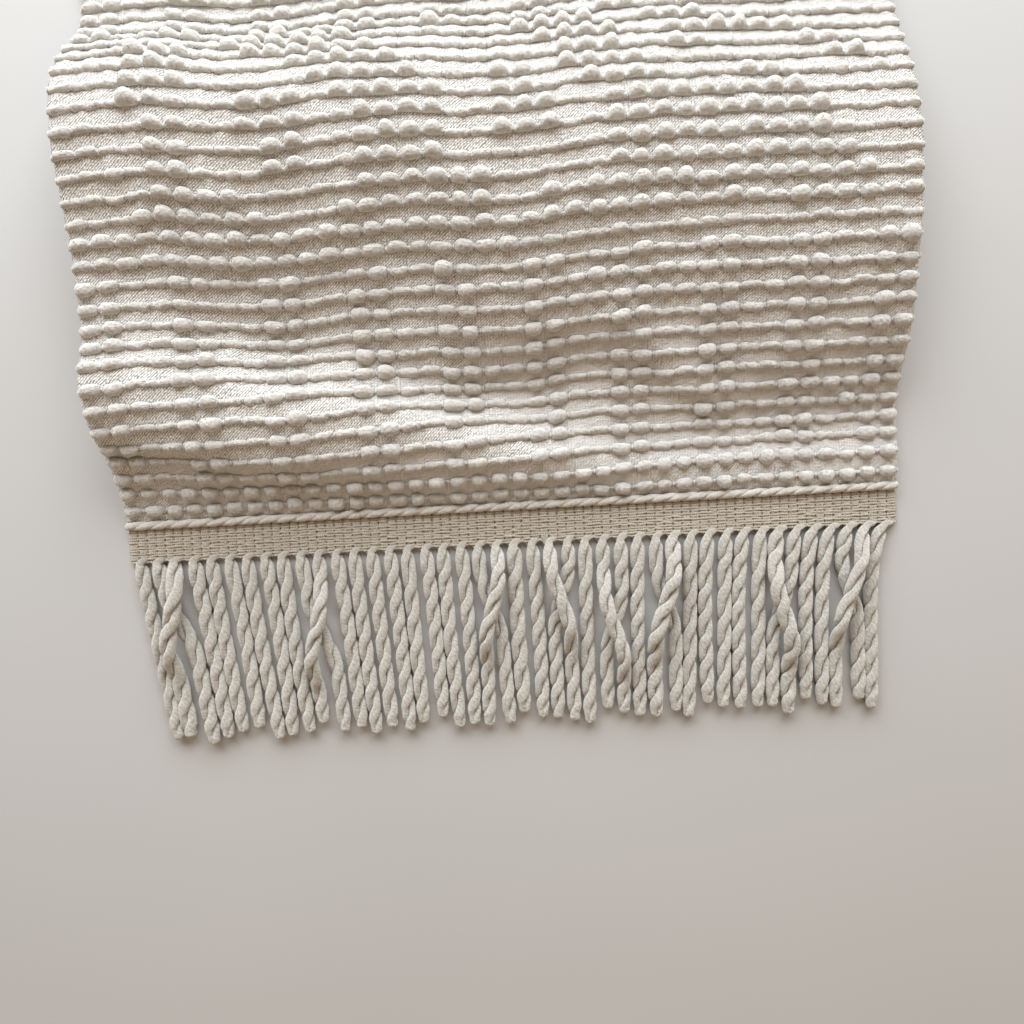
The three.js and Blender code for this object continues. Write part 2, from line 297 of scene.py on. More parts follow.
def joined(parts):
    """Many tubes as one set of points, triangles and corner measures."""
    offsets = np.cumsum([0] + [len(part[0]) for part in parts[:-1]])
    points = np.concatenate([part[0] for part in parts])
    faces = np.concatenate([part[1] + offset for part, offset in zip(parts, offsets)])
    return points, faces, np.concatenate([part[2] for part in parts])


print("tubes have closed ends, and many tubes join into one mesh")


# %% Triangles become a piece of the object
def piece(name, shape, material):
    """A smooth mesh in metres, with one finish, that rides on the object."""
    points, faces, uv = shape
    mesh = bpy.data.meshes.new(name)
    mesh.from_pydata((points * MM).tolist(), [], faces.tolist(), shade_flat=False)
    layer = mesh.uv_layers.new(name="yarn")
    layer.data.foreach_set("uv", uv.astype(np.float32).ravel())
    mesh.materials.append(material)
    made = bpy.data.objects.new(name, mesh)
    bpy.context.scene.collection.objects.link(made)
    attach(made, "root")
    print(f"{name}: {len(faces)} triangles")
    return made


print("each piece prints its name and its triangles when it is made")

# %% [markdown]
# ## Cotton
#
# All of it is cotton, so all of it is matt, slightly downy and warm white. What differs is the yarn: a
# fine hard twill for the ground, soft roving for the wicks, a firm cabled yarn for the fringe. One helper
# sets what they share, straight on the shader's own sockets, and each finish adds its own grain.

# %% A matt cotton to start from
def cotton(name, roughness, sheen):
    """A new material with cotton's roughness and down, and its shader node."""
    material = bpy.data.materials.new(name)
    material.use_nodes = True
    shader = material.node_tree.nodes["Principled BSDF"]
    shader.inputs["Roughness"].default_value = roughness
    shader.inputs["Diffuse Roughness"].default_value = 1.0
    shader.inputs["Sheen Weight"].default_value = sheen
    shader.inputs["Sheen Roughness"].default_value = 0.6
    shader.inputs["Specular IOR Level"].default_value = 0.15
    return material, shader


def node(material, kind, inputs=None, **settings):
    """A node with its settings, and its inputs set to plain values or linked to other sockets."""
    made = material.node_tree.nodes.new(kind)
    for key, value in settings.items():
        setattr(made, key, value)
    for key, value in (inputs or {}).items():
        if isinstance(value, bpy.types.NodeSocket):
            material.node_tree.links.new(value, made.inputs[key])
        else:
            made.inputs[key].default_value = value
    return made


print("cotton is matt, with a faint sheen from its down")


# %% Patterns for a finish
def maths(material, operation, *values):
    """What a math node gives for some sockets or numbers."""
    made = node(material, "ShaderNodeMath", dict(enumerate(values)), operation=operation)
    return made.outputs[0]


def wave(material, phase):
    """A wave from 0 to 1 that repeats for each whole step of its phase."""
    swing = maths(material, "SINE", maths(material, "MULTIPLY", phase, 2 * math.pi))
    return maths(material, "MULTIPLY_ADD", swing, 0.5, 0.5)


def mottle(material, vector, scale, detail=2.0):
    """Soft random blotches from 0 to 1."""
    made = node(material, "ShaderNodeTexNoise", {"Vector": vector, "Scale": scale, "Detail": detail})
    return made.outputs["Fac"]


def sharpened(material, share, gain):
    """Blotches with more contrast about their middle, kept between 0 and 1."""
    spread = maths(material, "MULTIPLY_ADD", share, gain, 0.5 - 0.5 * gain)
    return node(material, "ShaderNodeClamp", {"Value": spread}).outputs[0]


print("patterns: a wave and soft blotches")


# %% Colour, relief and the yarn's own measures
def blend(material, share, first, second):
    """A node that mixes two colours by a share from 0 to 1."""
    mix = node(material, "ShaderNodeMix", {"Factor": share}, data_type="RGBA")
    mix.inputs["A"].default_value = (*first, 1)
    mix.inputs["B"].default_value = (*second, 1)
    return mix


def tinted(material, shader, share, dark, light):
    """Colour that goes from dark to light with a share from 0 to 1."""
    mix = blend(material, share, dark, light)
    material.node_tree.links.new(mix.outputs["Result"], shader.inputs["Base Color"])
    return mix


def raised_grain(material, shader, height, depth_mm):
    """Fine relief on the surface, in millimetres."""
    bump = node(material, "ShaderNodeBump", {"Height": height, "Distance": depth_mm * MM})
    material.node_tree.links.new(bump.outputs["Normal"], shader.inputs["Normal"])


def yarn_measures(material):
    """The corner measures of a piece as one vector, and as its two numbers."""
    source = node(material, "ShaderNodeUVMap", uv_map="yarn").outputs["UV"]
    split = node(material, "ShaderNodeSeparateXYZ", {0: source})
    return source, split.outputs["X"], split.outputs["Y"]


def own_place(material):
    """The place of a point on the object itself, in metres."""
    return node(material, "ShaderNodeTexCoord").outputs["Object"]


print("finishes follow the yarn or the object, and never the room")

# %% [markdown]
# ## The ground cloth
#
# The ground is a thin twill whose slanting lines are about a millimetre apart along a row. It could be
# woven thread by thread, but that alone would take millions of triangles, so the weave is relief in the
# finish, with painted shade in its grooves. The sheet itself is a closed mesh on the folds, puckered where
# each loop is bound down.

# %% Twill finish
TWILL_PITCH, TWILL_SLOPE = 1.0, 1.1
WARP_PITCH, WARP_DEPTH = 0.9, 0.6
FLECK_SCALE, FLECK_GAIN = 1.3, 3.2
WEAVE_SHARE, FLECK_SHARE = 0.85, 0.52
TWILL_RELIEF = 0.25
# The dark end is painted shade in the grooves of the weave; the thread tops keep the cloth's own colour.
GROUND_GROOVE_SHADE = (0.27, 0.25, 0.22)
GROUND_THREAD = (0.98, 0.96, 0.92)


def twill_ground():
    """Slanting twill lines with painted shade in their grooves, broken by the warp and flecked where the yarn
    is uneven.
    """
    material, shader = cotton("twill_ground", roughness=0.95, sheen=0.2)
    vector, across, along = yarn_measures(material)
    wander = mottle(material, vector, scale=0.5)
    slant = maths(material, "SUBTRACT", across, maths(material, "MULTIPLY", along, TWILL_SLOPE))
    lines = maths(material, "ADD", maths(material, "DIVIDE", slant, TWILL_PITCH), wander)
    warp = wave(material, maths(material, "DIVIDE", across, WARP_PITCH))
    crossed = maths(material, "MULTIPLY_ADD", warp, WARP_DEPTH, 1 - WARP_DEPTH)
    weave = maths(material, "MULTIPLY", wave(material, lines), crossed)
    flecks = sharpened(material, mottle(material, vector, FLECK_SCALE, detail=3.0), FLECK_GAIN)
    flecked = maths(material, "MULTIPLY", flecks, FLECK_SHARE)
    share = maths(material, "MULTIPLY_ADD", weave, WEAVE_SHARE, flecked)
    tinted(material, shader, maths(material, "MINIMUM", share, 1.0), GROUND_GROOVE_SHADE, GROUND_THREAD)
    raised_grain(material, shader, maths(material, "ADD", weave, flecks), TWILL_RELIEF)
    return material


twill = twill_ground()
print("twill lines", TWILL_PITCH, "mm apart")

# %% Where each wick row and binding lies
LOOPS = 38
LOOP_PITCH = WIDTH / LOOPS
row_numbers = np.arange(1, ROWS + 1)
row_arc = FIRST_ROW + (row_numbers - 1) * ROW_PITCH
binding_x = -WIDTH / 2 + np.arange(LOOPS + 1) * LOOP_PITCH
print(f"{ROWS} rows of {LOOPS} loops, {LOOP_PITCH:.2f} mm apart")

# %% Puckers
DIP, DIP_ALONG, DIP_ACROSS = 0.3, 1.5, 1.4
PUFF, PUFF_AWAY, PUFF_ALONG = 0.35, 2.3, 1.5
RIPPLE, RIPPLE_STEP = 0.22, 3.4
SWELL, SWELL_STEP = 0.2, 9.0
GROUND_START = 300.0


def ground_lift(x, arc):
    """How high the top of the ground stands over the underside, with its puckers."""
    from_row = (arc - FIRST_ROW + ROW_PITCH / 2) % ROW_PITCH - ROW_PITCH / 2
    from_binding = (x + WIDTH / 2 + LOOP_PITCH / 2) % LOOP_PITCH - LOOP_PITCH / 2
    dip = DIP * np.exp(-((from_row / DIP_ALONG) ** 2) - (from_binding / DIP_ACROSS) ** 2)
    puff = PUFF * np.cos(2 * np.pi * from_binding / LOOP_PITCH)
    puff = puff * np.exp(-(((from_row + PUFF_AWAY) / PUFF_ALONG) ** 2))
    ripple = RIPPLE * drift(x + GROUND_START, arc, RIPPLE_STEP, seed=21)
    swell = SWELL * drift(x + GROUND_START, arc, SWELL_STEP, seed=22)
    return GROUND - dip - puff + (ripple + swell)


at_binding = ground_lift(binding_x[1:2], row_arc[:1])[0]
print(f"{GROUND} mm of ground, and {at_binding:.2f} mm at one binding")

# %% The sheet
CELL = 1.5


def closed_sheet(top, under, measures):
    """Triangles over both faces and round the cut edges of a sheet."""
    rows, columns, _ = top.shape
    face, _, _ = grid_faces(rows, columns, False)
    count = rows * columns
    index = np.arange(count).reshape(rows, columns)
    rim = np.concatenate([index[0, :-1], index[:-1, -1], index[-1, :0:-1], index[:0:-1, 0]])
    following = np.roll(rim, -1)
    edge = np.concatenate([
        np.stack([count + rim, count + following, following], axis=-1),
        np.stack([count + rim, following, rim], axis=-1),
    ])
    points = np.concatenate([top.reshape(-1, 3), under.reshape(-1, 3)])
    faces = np.concatenate([face, count + face[:, ::-1], edge])
    return points, faces, np.concatenate([measures, measures])[faces]


sheet_arc, sheet_x = np.meshgrid(
    np.linspace(0, CLOTH_LENGTH, round(CLOTH_LENGTH / CELL) + 1),
    np.linspace(-WIDTH / 2, WIDTH / 2, round(WIDTH / CELL) + 1),
    indexing="ij",
)
ground = piece(
    "ground_cloth",
    closed_sheet(
        on_cloth(sheet_x, sheet_arc, ground_lift(sheet_x, sheet_arc)),
        on_cloth(sheet_x, sheet_arc, np.zeros_like(sheet_x)),
        np.stack([sheet_x, sheet_arc], axis=-1).reshape(-1, 2),
    ),
    twill,
)
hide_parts("bedspread_cloth")

# %% [markdown]
# ## Charting the raised loops
#
# Candlewick draws its pattern by pulling some floats up into round loops and leaving the rest low. A
# weaver keeps that as a chart. Here two borders, a four-loop repeat and some stepped figures give each
# loop a number, from 0 for a low float to 1 for a loop pulled right up.

# %% The chart
HEM_BORDER = {1: 0.7, 2: 0.85}
FIELD_ROWS = range(3, 14)
UPPER_BORDER = {14: 0.65, 15: 0.8, 16: 0.85}
BORDER_GAPS = {14: range(20, LOOPS), 16: (0, 1, 2, 9, 10, 11, 19, 20, 36, 37)}
BACK_ROWS = range(26, ROWS + 1)
FIELD_RAISE, GAP_RAISE = 0.75, 0.1
REPEAT, REPEAT_RAISED = 4, 2
RUNS = [
    # from row, to row, first loop, last loop: plain runs that link the pairs of the field
    (5, 6, 32, 36),
    (11, 12, 21, 28),
]
STEPPED_FIGURES = [
    # from row, to row, first loop, last loop, then how far each end steps from row to row
    (17, 17, 4, 7, 0, 0),
    (18, 20, 4, 5, 0, 0),
    (21, 24, 3, 5, 0, 0),
    (18, 21, 9, 10, -0.4, 0),
    (17, 17, 13, 18, 0, 0),
    (18, 20, 13, 16, 0, 0),
    (21, 25, 12, 16, -1.2, -1),
    (19, 22, 19, 21, 0, -0.4),
    (17, 20, 24, 34, 0, -0.7),
    (21, 25, 23, 26, -0.7, -0.8),
    (21, 21, 30, 31, 0, 0),
    (22, 23, 34, 35, -1, -1),
    (23, 25, 27, 28, -0.3, 0),
    (24, 24, 29, 32, 0, 0),
]
print(len(STEPPED_FIGURES), "stepped figures over a repeat of", REPEAT, "loops")

# %% A number for each loop
raise_of = np.zeros((ROWS + 1, LOOPS))
pair = np.arange(LOOPS) % REPEAT < REPEAT_RAISED
for row in [*FIELD_ROWS, *BACK_ROWS]:
    raise_of[row, pair] = FIELD_RAISE
for row, amount in {**HEM_BORDER, **UPPER_BORDER}.items():
    raise_of[row] = amount
for row, gaps in BORDER_GAPS.items():
    raise_of[row, list(gaps)] = GAP_RAISE
for first_row, last_row, first, last in RUNS:
    raise_of[first_row:last_row + 1, first:last + 1] = FIELD_RAISE
for first_row, last_row, first, last, first_step, last_step in STEPPED_FIGURES:
    for row in range(first_row, last_row + 1):
        start = round(first + first_step * (row - first_row))
        stop = round(last + last_step * (row - first_row))
        raise_of[row, start:stop + 1] = 1.0
raise_of = raise_of[1:]
print(int((raise_of > GAP_RAISE).sum()), "of", raise_of.size, "loops are raised")

# %% [markdown]
# ## The wicks
#
# The roving is thick and hardly twisted, so each float swells between its bindings and is pinched at
# them. A curve with a bevel could make it, but every ring here has its own width and height, so a row is
# worked out as one long tube. Raised loops are round balls, and at the left they lean to one side. Light
# soaks a little way into such loose fibres, which is why their shaded sides stay soft.

# %% Roving finish
ROVING_SHADE = (0.44, 0.416, 0.378)
ROVING_LIGHT = (0.61, 0.584, 0.542)
ROVING_SOAK = 0.6
ROVING_SOAK_MM = (1.0, 0.9, 0.8)
TUFT_SCALE, TUFT_GAIN = 1000.0, 2.4
TUFT_RELIEF = 0.7


def soft_roving():
    """Loose tufts that let some light in."""
    material, shader = cotton("soft_roving", roughness=1.0, sheen=0.3)
    shader.inputs["Subsurface Weight"].default_value = ROVING_SOAK
    shader.inputs["Subsurface Radius"].default_value = ROVING_SOAK_MM
    shader.inputs["Subsurface Scale"].default_value = MM
    tufts = mottle(material, own_place(material), TUFT_SCALE, detail=4.0)
    tinted(material, shader, sharpened(material, tufts, TUFT_GAIN), ROVING_SHADE, ROVING_LIGHT)
    raised_grain(material, shader, tufts, TUFT_RELIEF)
    return material


roving = soft_roving()
print("light soaks about", ROVING_SOAK_MM[0], "mm into the roving")


# %% A soft step
def smooth_step(value, low, high):
    """From 0 to 1 between two values, with soft ends."""
    return eased(np.clip((value - low) / (high - low), 0, 1))


print("half way:", float(smooth_step(0.5, 0, 1)))

# %% Chance in each loop
FULLNESS_SPREAD, STANDING_SPREAD = 0.09, 0.1
STANDING_MOST = 1.15
BINDING_SLIP = 0.3
SAG_SPREAD = 0.25
WAIST_LEAST, WAIST_MOST = 0.08, 0.38
WAIST_MIDDLE, WAIST_SPREAD = 0.5, 0.09

wick_chance = np.random.default_rng(31)
fullness = wick_chance.normal(1.0, FULLNESS_SPREAD, raise_of.shape)
standing = raise_of + wick_chance.normal(0, STANDING_SPREAD, raise_of.shape)
standing = np.clip(standing, 0, STANDING_MOST)
binding_slip = wick_chance.normal(0, BINDING_SLIP, (ROWS, LOOPS + 1))
binding_slip[:, [0, -1]] = 0
bound_x = binding_x + binding_slip
sag = wick_chance.normal(0, SAG_SPREAD, raise_of.shape)
waist = wick_chance.uniform(WAIST_LEAST, WAIST_MOST, raise_of.shape) * (1 - np.clip(standing, 0, 1))
waist_place = wick_chance.normal(WAIST_MIDDLE, WAIST_SPREAD, raise_of.shape)
print(f"loops are {fullness.min():.2f} to {fullness.max():.2f} of their plain size")

# %% The swell of each loop
LOW_HALF = (1.42, 1.25)
BALL_HALF = (2.2, 2.0)
PINCH_HALF = (0.72, 0.62)
HEM_PINCH_HALF = (0.6, 0.5)
LOW_FILL, BALL_FILL = 0.89, 0.83
HEM_ROWS = 2
HEM_GAP = 0.08
WAIST_WIDE = 0.16
STAND_LOW, STAND_BALL = 0.35, 0.6
PULLED_UP = 0.8
LEAN_FROM, LEAN_TO = -40, 50
LEANING_CROWN, UPRIGHT_CROWN = 0.41, 0.5
BEAD_RINGS = 10

bead_turn = np.pi * np.arange(BEAD_RINGS) / (BEAD_RINGS - 1)
upright = smooth_step(binding_x[:-1], LEAN_FROM, LEAN_TO)
crown = LEANING_CROWN + (UPRIGHT_CROWN - LEANING_CROWN) * upright


def pinch_half(row):
    """Half width and half height of a row where it is bound down."""
    return HEM_PINCH_HALF if row < HEM_ROWS else PINCH_HALF


def loop_shape(row):
    """Along one row: each ring's place across, half sizes, shift along the cloth and stand over it."""
    start, stop = bound_x[row, :-1, None], bound_x[row, 1:, None]
    raised = standing[row][:, None]
    filled = LOW_FILL + (BALL_FILL - LOW_FILL) * raised - HEM_GAP * (row < HEM_ROWS)
    share = 0.5 - 0.5 * filled * np.cos(bead_turn)
    from_waist = (share - waist_place[row][:, None]) / WAIST_WIDE
    drawn_in = 1 - waist[row][:, None] * np.exp(-(from_waist**2))
    drawn_in = np.concatenate([np.ones((LOOPS, 1)), drawn_in], axis=1)
    lean = 0.5 + (crown - 0.5)[:, None] * np.clip(raised, 0, 1)
    share = np.concatenate([np.zeros((LOOPS, 1)), share], axis=1) ** (np.log(lean) / np.log(0.5))
    swell = np.concatenate([[0], np.sin(bead_turn)])
    x = start + (stop - start) * share
    sizes = []
    for low, ball, pinch in zip(LOW_HALF, BALL_HALF, pinch_half(row)):
        full = (low + (ball - low) * standing[row]) * fullness[row]
        sizes.append(pinch + (full[:, None] * drawn_in - pinch) * swell)
    pulled = PULLED_UP * standing[row] * (row_numbers[row] > max(FIELD_ROWS))
    hang = (sag[row] + pulled)[:, None] * swell
    stand = STAND_LOW + (STAND_BALL - STAND_LOW) * raised * swell
    edge = (bound_x[row, -1], *pinch_half(row), 0.0, STAND_LOW)
    return [np.append(values.ravel(), last) for values, last in zip((x, *sizes, hang, stand), edge)]


print(f"widest ring of the first row {2 * loop_shape(0)[1].max():.1f} mm")

# %% Rows on the cloth
WICK_SIDES = 12
WICK_LUMP, LUMP_STEP = 0.26, 2.2
LUMP_ROUND, LUMP_ROW_APART = 1.5, 12
BALL_FIRMNESS = 0.65
WANDER, WANDER_STEP, WANDER_ROW_APART = 0.3, 17.0, 11.0
LEAST_LIFT = 0.15
FLOOR_CLEAR = 0.04


def lumpy(depth, along, around, step, seed):
    """Uneven thickness of a yarn, about one."""
    return 1 + depth * drift(along, around, step, seed)


def row_wander(row, x):
    """How far a row strays along the cloth at some places across it."""
    return WANDER * drift(x + DRIFT_START, np.full_like(x, WANDER_ROW_APART * row), WANDER_STEP, seed=34)


def wick_rings(row):
    """Rings of points of one row of roving on the cloth, from edge to edge, and their places across."""
    x, half_wide, half_high, hang, stand = [values[:, None] for values in loop_shape(row)]
    turn = 2 * np.pi * np.arange(WICK_SIDES) / WICK_SIDES
    softness = 1 - BALL_FIRMNESS * (stand - STAND_LOW) / (STAND_BALL - STAND_LOW)
    around = turn * LUMP_ROUND + LUMP_ROW_APART * row
    lumps = lumpy(softness * WICK_LUMP, x + DRIFT_START, around, LUMP_STEP, seed=33)
    foot, onward, out = cloth_frame(x, row_arc[row] + row_wander(row, x))
    across = hang + half_wide * lumps * np.sin(turn)
    lift = np.maximum(GROUND + half_high * (stand - lumps * np.cos(turn)), LEAST_LIFT)
    rings = foot + across[..., None] * onward + lift[..., None] * out
    rings[..., 2] = np.maximum(rings[..., 2], FLOOR_CLEAR)
    return rings, x[:, 0]


row_rings = [wick_rings(row) for row in range(ROWS)]
for place, numbers in zip(("lower", "middle", "upper"), np.array_split(np.arange(ROWS), 3)):
    shape = joined([tube(*row_rings[row]) for row in numbers])
    piece(f"wick_rows_{place}", shape, roving)

# %% [markdown]
# ## The down on the wicks
#
# Roving is hardly spun, so its fibres stand off it and soften every outline. A particle system could grow
# them, but it makes no mesh of its own. So each fibre here is a thin closed spike with three sides, rooted
# in the roving and leaning at random, and all of them are one mesh.

# %% Fibres that stand off the roving
FIBRES_A_LOOP = 32
FIBRE_LENGTH, FIBRE_SHORTEST = 1.0, 0.4
FIBRE_RADIUS = 0.15
FIBRE_ROOT = 0.2
FIBRE_STRAY = 0.6
UPPER_SIDES = (2, 11)
SPIKE = np.array([[0, 2, 1], [0, 1, 3], [1, 2, 3], [2, 0, 3]])
fibre_chance = np.random.default_rng(71)


def unit(vectors):
    """The same directions, each with a length of one."""
    return vectors / np.linalg.norm(vectors, axis=-1, keepdims=True)


def circle(sides, first, second):
    """Directions all round, in the plane of two directions that are square to each other."""
    turn = 2 * np.pi * np.arange(sides) / sides
    return np.cos(turn)[:, None] * first[:, None] + np.sin(turn)[:, None] * second[:, None]


def down(rings):
    """Thin spikes on the upper sides of one row of roving."""
    count = FIBRES_A_LOOP * LOOPS
    ring = fibre_chance.integers(0, len(rings) - 1, count)
    side = fibre_chance.integers(*UPPER_SIDES, count)
    share = fibre_chance.uniform(0, 1, (count, 1))
    root = rings[ring, side] * (1 - share) + rings[ring + 1, side] * share
    outward = unit(root - rings.mean(axis=1)[ring])
    lean = unit(outward + FIBRE_STRAY * fibre_chance.normal(0, 1, (count, 3)))
    first = unit(np.cross(lean, fibre_chance.normal(0, 1, (count, 3))))
    spread = circle(3, first, np.cross(lean, first))
    foot = (root - FIBRE_ROOT * outward)[:, None] + FIBRE_RADIUS * spread
    tip = root + FIBRE_LENGTH * fibre_chance.uniform(FIBRE_SHORTEST, 1, (count, 1)) * lean
    points = np.concatenate([foot, tip[:, None]], axis=1)
    points[..., 2] = np.maximum(points[..., 2], FLOOR_CLEAR)
    points[..., 0] = np.clip(points[..., 0], -WIDTH / 2, WIDTH / 2)
    faces = (SPIKE + 4 * np.arange(count)[:, None, None]).reshape(-1, 3)
    return points.reshape(-1, 3), faces, np.zeros((len(faces), 3, 2))


fuzz = piece("roving_down", joined([down(rings) for rings, _ in row_rings]), roving)

# %% [markdown]
# ## The binding threads
#
# Each loop is held down by fine warp threads that cross the roving in its pinch. They could be painted
# on, but they stand up and catch the light, so they are real threads: short arcs of a tube, three sides
# each, joined into one mesh.

# %% Thread finish
THREAD_TURNS = 1.6
THREAD_RELIEF = 0.08
BINDING_SHADE = (0.6, 0.575, 0.53)
BINDING_LIGHT = (0.83, 0.81, 0.77)


def fine_thread(name, dark, light):
    """Thin twisted thread, with so many turns a millimetre."""
    material, shader = cotton(name, roughness=0.85, sheen=0.1)
    _, along, around = yarn_measures(material)
    twist = wave(material, maths(material, "MULTIPLY_ADD", along, THREAD_TURNS, around))
    tinted(material, shader, twist, dark, light)
    raised_grain(material, shader, twist, THREAD_RELIEF)
    return material


thread_white = fine_thread("binding_thread", BINDING_SHADE, BINDING_LIGHT)
print("binding thread with", THREAD_TURNS, "turns a millimetre")

# %% Threads over the pinches
THREAD_RADIUS, THREAD_SIDES = 0.2, 3
THREAD_CLEAR = 0.1
BINDING_REACH, BINDING_POINTS = 1.75, 6
SIDEWAYS = np.array([1.0, 0.0, 0.0])


def square_to(travel, across):
    """The direction nearest to across that is square to each direction of travel."""
    return unit(across - (travel @ across)[:, None] * travel)


def distance_along(path):
    """How far each point of a path is from its start."""
    return np.concatenate([[0], np.cumsum(np.linalg.norm(np.diff(path, axis=0), axis=1))])


def thread(path, radius, sides, across):
    """A thin tube along a path; across is a direction that stays square to it."""
    travel = unit(np.gradient(path, axis=0))
    side = square_to(travel, across)
    ring = circle(sides, side, np.cross(travel, side))
    return tube(path[:, None] + radius * ring, distance_along(path))


def binding(row, place):
    """One thread over the pinch between two loops."""
    x = bound_x[row, [place]]
    tilt = np.linspace(-BINDING_REACH, BINDING_REACH, BINDING_POINTS)
    pinch_wide, pinch_high = pinch_half(row)
    wide, high = pinch_wide + THREAD_CLEAR, pinch_high + THREAD_CLEAR
    inside = np.clip(x, -WIDTH / 2 + THREAD_RADIUS, WIDTH / 2 - THREAD_RADIUS)
    foot, onward, out = cloth_frame(inside, row_arc[row] + row_wander(row, x))
    lift = GROUND + STAND_LOW * pinch_high + high * np.cos(tilt)
    path = foot + (wide * np.sin(tilt))[:, None] * onward + lift[:, None] * out
    return thread(path, THREAD_RADIUS, THREAD_SIDES, SIDEWAYS)


arcs = [binding(row, place) for row in range(ROWS) for place in range(LOOPS + 1)]
bindings = piece("binding_threads", joined(arcs), thread_white)

# %% [markdown]
# ## The strands of the fringe
#
# A bullion strand is one yarn, doubled: it leaves the heading, turns back at its tip, and the two halves
# wind round each other until they lock. So each strand here is one tube with one bend in it, and not two
# cylinders. Its middle line is the one that the solids follow, with the same leans and crossings.

# %% Sizes of the strands
STRANDS = 43
STRAND_PITCH = WIDTH / STRANDS
HEADING = 12.5
ROOT_DEPTH = 3.0
STRAND_LENGTH, LENGTH_SPREAD = 61.0, 3.0
STRAND_RADIUS = 2.4
LEAN_LEFT, LEAN_RIGHT = 8.0, -6.5
ROOT_SWEEP, SWEEP_ONSET = 6, 3
TIP_STRAY, STRAY_PHASE = 0.5, 2
BEND = 0.6
UNEVEN = {"length": 1.7, "length_drift": 0.6, "stray": 2.4, "stray_drift": 1.1, "bend": 2.9}
CROSSINGS = [
    # the strand that climbs over, the one under it, and how far along they cross
    (2, 1, 0.36), (10, 9, 0.48), (20, 19, 0.36), (23, 24, 0.34),
    (26, 27, 0.52), (30, 29, 0.4), (36, 37, 0.46), (41, 40, 0.38),
]
CROSSING_LIFT, CROSSING_HALF, PLATEAU_HALF, CLIMB = 5.4, 0.2, 0.11, 0.24
print(f"{STRANDS} strands, {STRAND_PITCH:.2f} mm apart, {len(CROSSINGS)} crossings")


# %% Middle lines of the strands
def strand_length(s):
    """How long a strand is below the heading."""
    uneven = math.sin(UNEVEN["length"] * s) * math.cos(UNEVEN["length_drift"] * s)
    return STRAND_LENGTH + LENGTH_SPREAD * uneven


def root_x(s):
    """Where a strand leaves the heading."""
    return (s + 0.5) * STRAND_PITCH - WIDTH / 2


def strand_line(s, t):
    """Points along the middle of a strand, with t from 0 in the heading to 1 at the tip."""
    place = s / (STRANDS - 1)
    length = strand_length(s)
    lean = math.tan(math.radians(LEAN_LEFT + (LEAN_RIGHT - LEAN_LEFT) * place))
    swing = t + (1 - (1 - t) ** ROOT_SWEEP - t) * place**SWEEP_ONSET
    stray_drift = math.sin(UNEVEN["stray_drift"] * s + STRAY_PHASE) / 2
    stray = TIP_STRAY * (math.sin(UNEVEN["stray"] * s) + stray_drift)
    bend = BEND * math.sin(UNEVEN["bend"] * s)
    x = root_x(s) + lean * length * swing + stray * t + bend * np.sin(np.pi * t)
    z = np.full_like(t, STRAND_RADIUS)
    for over, under, along in CROSSINGS:
        if s in (over, under):
            partner = under if s == over else over
            x += (partner - s) * STRAND_PITCH * smooth_step(t, along - CROSSING_HALF, along + CROSSING_HALF)
        if s == over:
            away = np.abs(t - along)
            z += CROSSING_LIFT * (1 - smooth_step(away, PLATEAU_HALF, PLATEAU_HALF + CLIMB))
    y = FRINGE_TOP - HEADING + ROOT_DEPTH - (length + ROOT_DEPTH) * t
    return np.stack([x, y, z], axis=-1)


tips = [strand_line(s, np.array([1.0]))[0] for s in range(STRANDS)]
print(f"tips from y {min(tip[1] for tip in tips):.1f} to {max(tip[1] for tip in tips):.1f} mm")

# %% [markdown]
# ## Winding the two halves
#
# The halves are soft, so they flatten where they press on each other, and the strand looks wide and then
# narrow as it turns. In the heading they run side by side, squeezed at each line of weft. Just below it
# they are gathered into a narrow neck, and round the tip they are one short bend.

# %% Bullion finish
YARNS_ROUND, YARN_LAY = 4, 4.4
# The dark end is painted shade in the grooves between the fine yarns.
YARN_GROOVE_SHADE = (0.37, 0.342, 0.295)
YARN_LIGHT = (0.59, 0.56, 0.505)
# Where the yarn is woven into the heading it is darkened towards this colour by TAPE_SHADE: painted shade for
# the shade the heading lies in.
TAPE_SHADE_COLOUR = (0.43, 0.378, 0.31)
TAPE_SHADE, TAPE_FADE = 0.9, 1.0
BLOTCH_SCALE, BLOTCH_GAIN, BLOTCH_RELIEF = 900.0, 2.4, 0.7
RIDGE_SHARE, RIDGE_RELIEF = 0.45, 0.12


